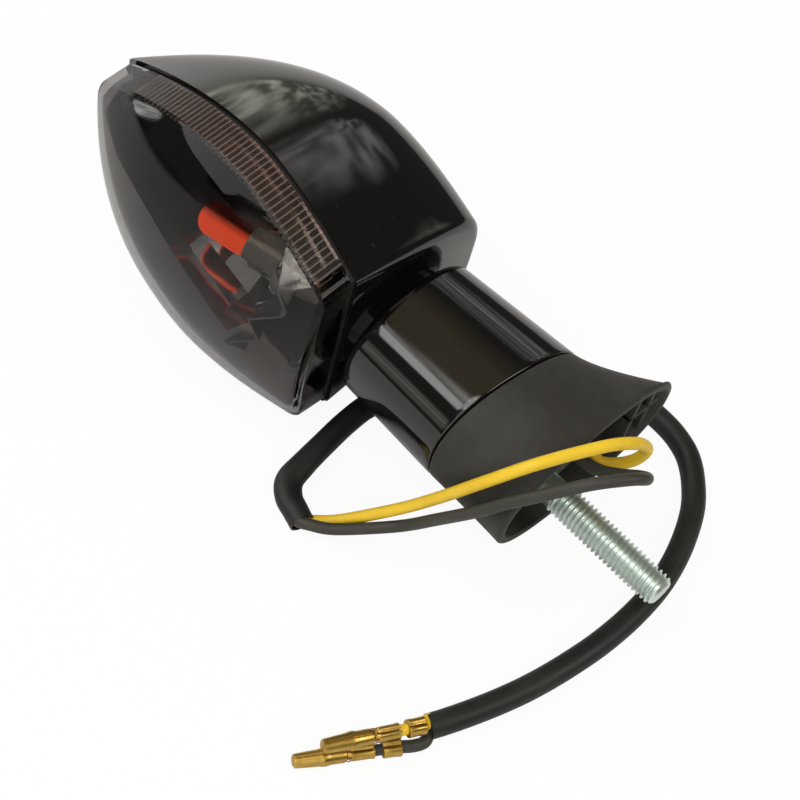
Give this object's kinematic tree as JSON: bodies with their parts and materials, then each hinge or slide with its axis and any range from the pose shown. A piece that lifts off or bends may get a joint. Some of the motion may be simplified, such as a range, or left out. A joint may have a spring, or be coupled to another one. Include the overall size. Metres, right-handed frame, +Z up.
{
  "type": "motorcycle turn signal indicator",
  "caption": "Leaf-shaped turn signal with a smoked lens and amber bulb, on an oval stem with a flexible rubber base, a threaded mounting stud and a sleeved lead to bullet terminals.",
  "frame": {"origin": "on the stud's axis, level with the rim of the rubber base's foot", "axes": "+X out along the mounting stud, -Y the way the lens faces, +Z up"},
  "size_m": [0.1847, 0.1348, 0.062],
  "materials": {
    "gloss_black": "gloss",
    "smoked_lens": "gloss",
    "seal_rubber": "matte",
    "screw_steel": "satin",
    "bright_chrome": "mirror",
    "plated_shell": "satin",
    "spring_steel": "satin",
    "fibre_board": "matte",
    "brass": "satin",
    "solder": "satin",
    "amber_glass": "gloss",
    "clear_glass": "gloss",
    "filament_wire": "satin",
    "soft_rubber": "matte",
    "zinc_plate": "satin",
    "yellow_wire": "satin",
    "black_wire": "satin",
    "sleeve_vinyl": "satin"
  },
  "bodies": {
    "mount": {"rubber_base": "soft_rubber", "stay_plate": "zinc_plate", "mount_stud": "zinc_plate", "feed_wire": "yellow_wire", "ground_wire": "black_wire", "wire_sleeve": "sleeve_vinyl", "feed_tail": "yellow_wire", "ground_tail": "black_wire", "feed_bullet": "brass", "ground_bullet": "brass"},
    "head": {"housing": "gloss_black", "lens": "smoked_lens", "lens_seal": "seal_rubber", "lens_screws": "screw_steel", "reflector": "bright_chrome", "socket_shell": "plated_shell", "contact_spring": "spring_steel", "stem": "gloss_black", "stem_screws": "screw_steel", "feed_lead": "yellow_wire", "ground_lead": "black_wire"},
    "bulb": {"bulb_cap": "plated_shell", "bulb_pins": "plated_shell", "bulb_contact": "solder", "bulb_glass": "amber_glass", "bulb_stem": "clear_glass", "bulb_filament": "filament_wire"},
    "contact": {"contact_carrier": "fibre_board", "contact_pin": "brass"}
  },
  "joints": [
    {"name": "base_flex", "type": "hinge", "parent": "mount", "child": "head", "pos_m": [-0.014, 0.005, 0], "axis": [0, 0, 1], "range_deg": [-8, 8], "stiffness_Nm_per_rad": 8, "deforming": ["rubber_base"]},
    {"name": "bulb_push", "type": "slide", "parent": "head", "child": "bulb", "axis": [0.9781, 0.2079, 0], "range_m": [0, 0.0015], "stiffness_N_per_m": 1000, "springref_m": -0.001},
    {"name": "contact_push", "type": "slide", "parent": "head", "child": "contact", "axis": [0.9781, 0.2079, 0], "range_m": [0, 0.0015], "stiffness_N_per_m": 1000, "springref_m": -0.001, "deforming": ["contact_spring"]}
  ],
  "couplings": [
    {"joint": "contact_push", "follows": "bulb_push", "ratio": 1}
  ]
}
